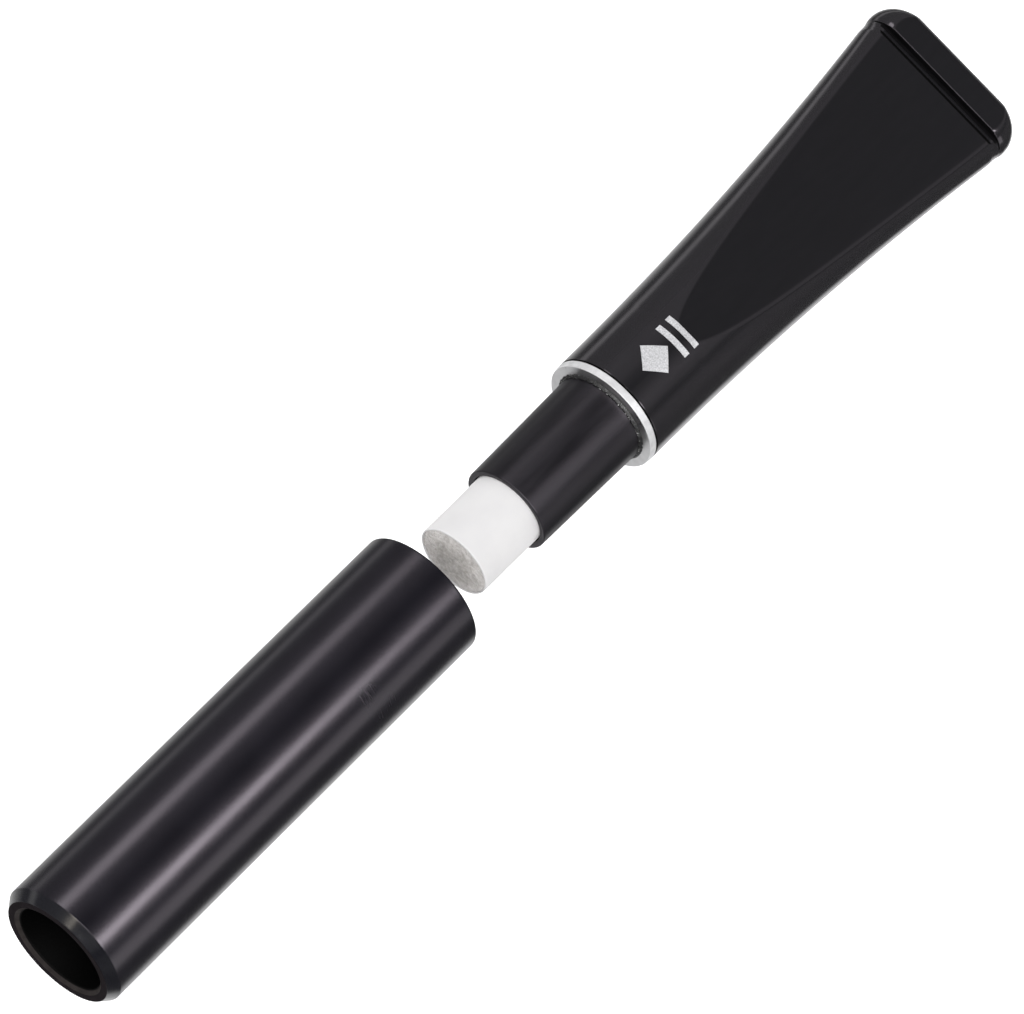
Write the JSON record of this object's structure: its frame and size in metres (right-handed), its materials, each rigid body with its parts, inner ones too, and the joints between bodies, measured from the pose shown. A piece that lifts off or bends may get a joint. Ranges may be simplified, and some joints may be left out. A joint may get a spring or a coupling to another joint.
{
  "type": "filter cigarette holder",
  "caption": "Filter smoking holder: pull-off black front tube, white filter in a glued sleeve, silver ferrule ring and a flared mouthpiece with a bite lip.",
  "frame": {"origin": "on the surface that the object lies on, under the middle of its length, with the front tube pulled off as shown", "axes": "+X along the common axis from the front tube's open end to the mouthpiece's lip, +Z normal to the mouthpiece's flats, +Y across the lip"},
  "size_m": [0.1482, 0.021, 0.0152],
  "materials": {
    "tube_black": "satin, turned",
    "mouthpiece_black": "polished",
    "ring_silver": "polished rim, matte face",
    "sleeve_black": "satin",
    "filter_paper": "matte paper",
    "filter_fibre": "matte fibre, grey and beige",
    "charcoal": "matte granules"
  },
  "bodies": {
    "handle": {"mouthpiece": "mouthpiece_black", "ferrule_ring": "ring_silver", "filter_sleeve": "sleeve_black"},
    "tube": {"front_tube": "tube_black"},
    "filter": {"filter_paper": "filter_paper", "front_filter_plug": "filter_fibre", "charcoal_bed": "charcoal", "rear_filter_plug": "filter_fibre"}
  },
  "joints": [
    {"name": "tube_slide", "type": "slide", "parent": "handle", "child": "tube", "axis": [1, 0, 0], "range_m": [0, 0.0294]},
    {"name": "filter_slide", "type": "slide", "parent": "handle", "child": "filter", "axis": [1, 0, 0], "range_m": [-0.0305, 0]}
  ]
}
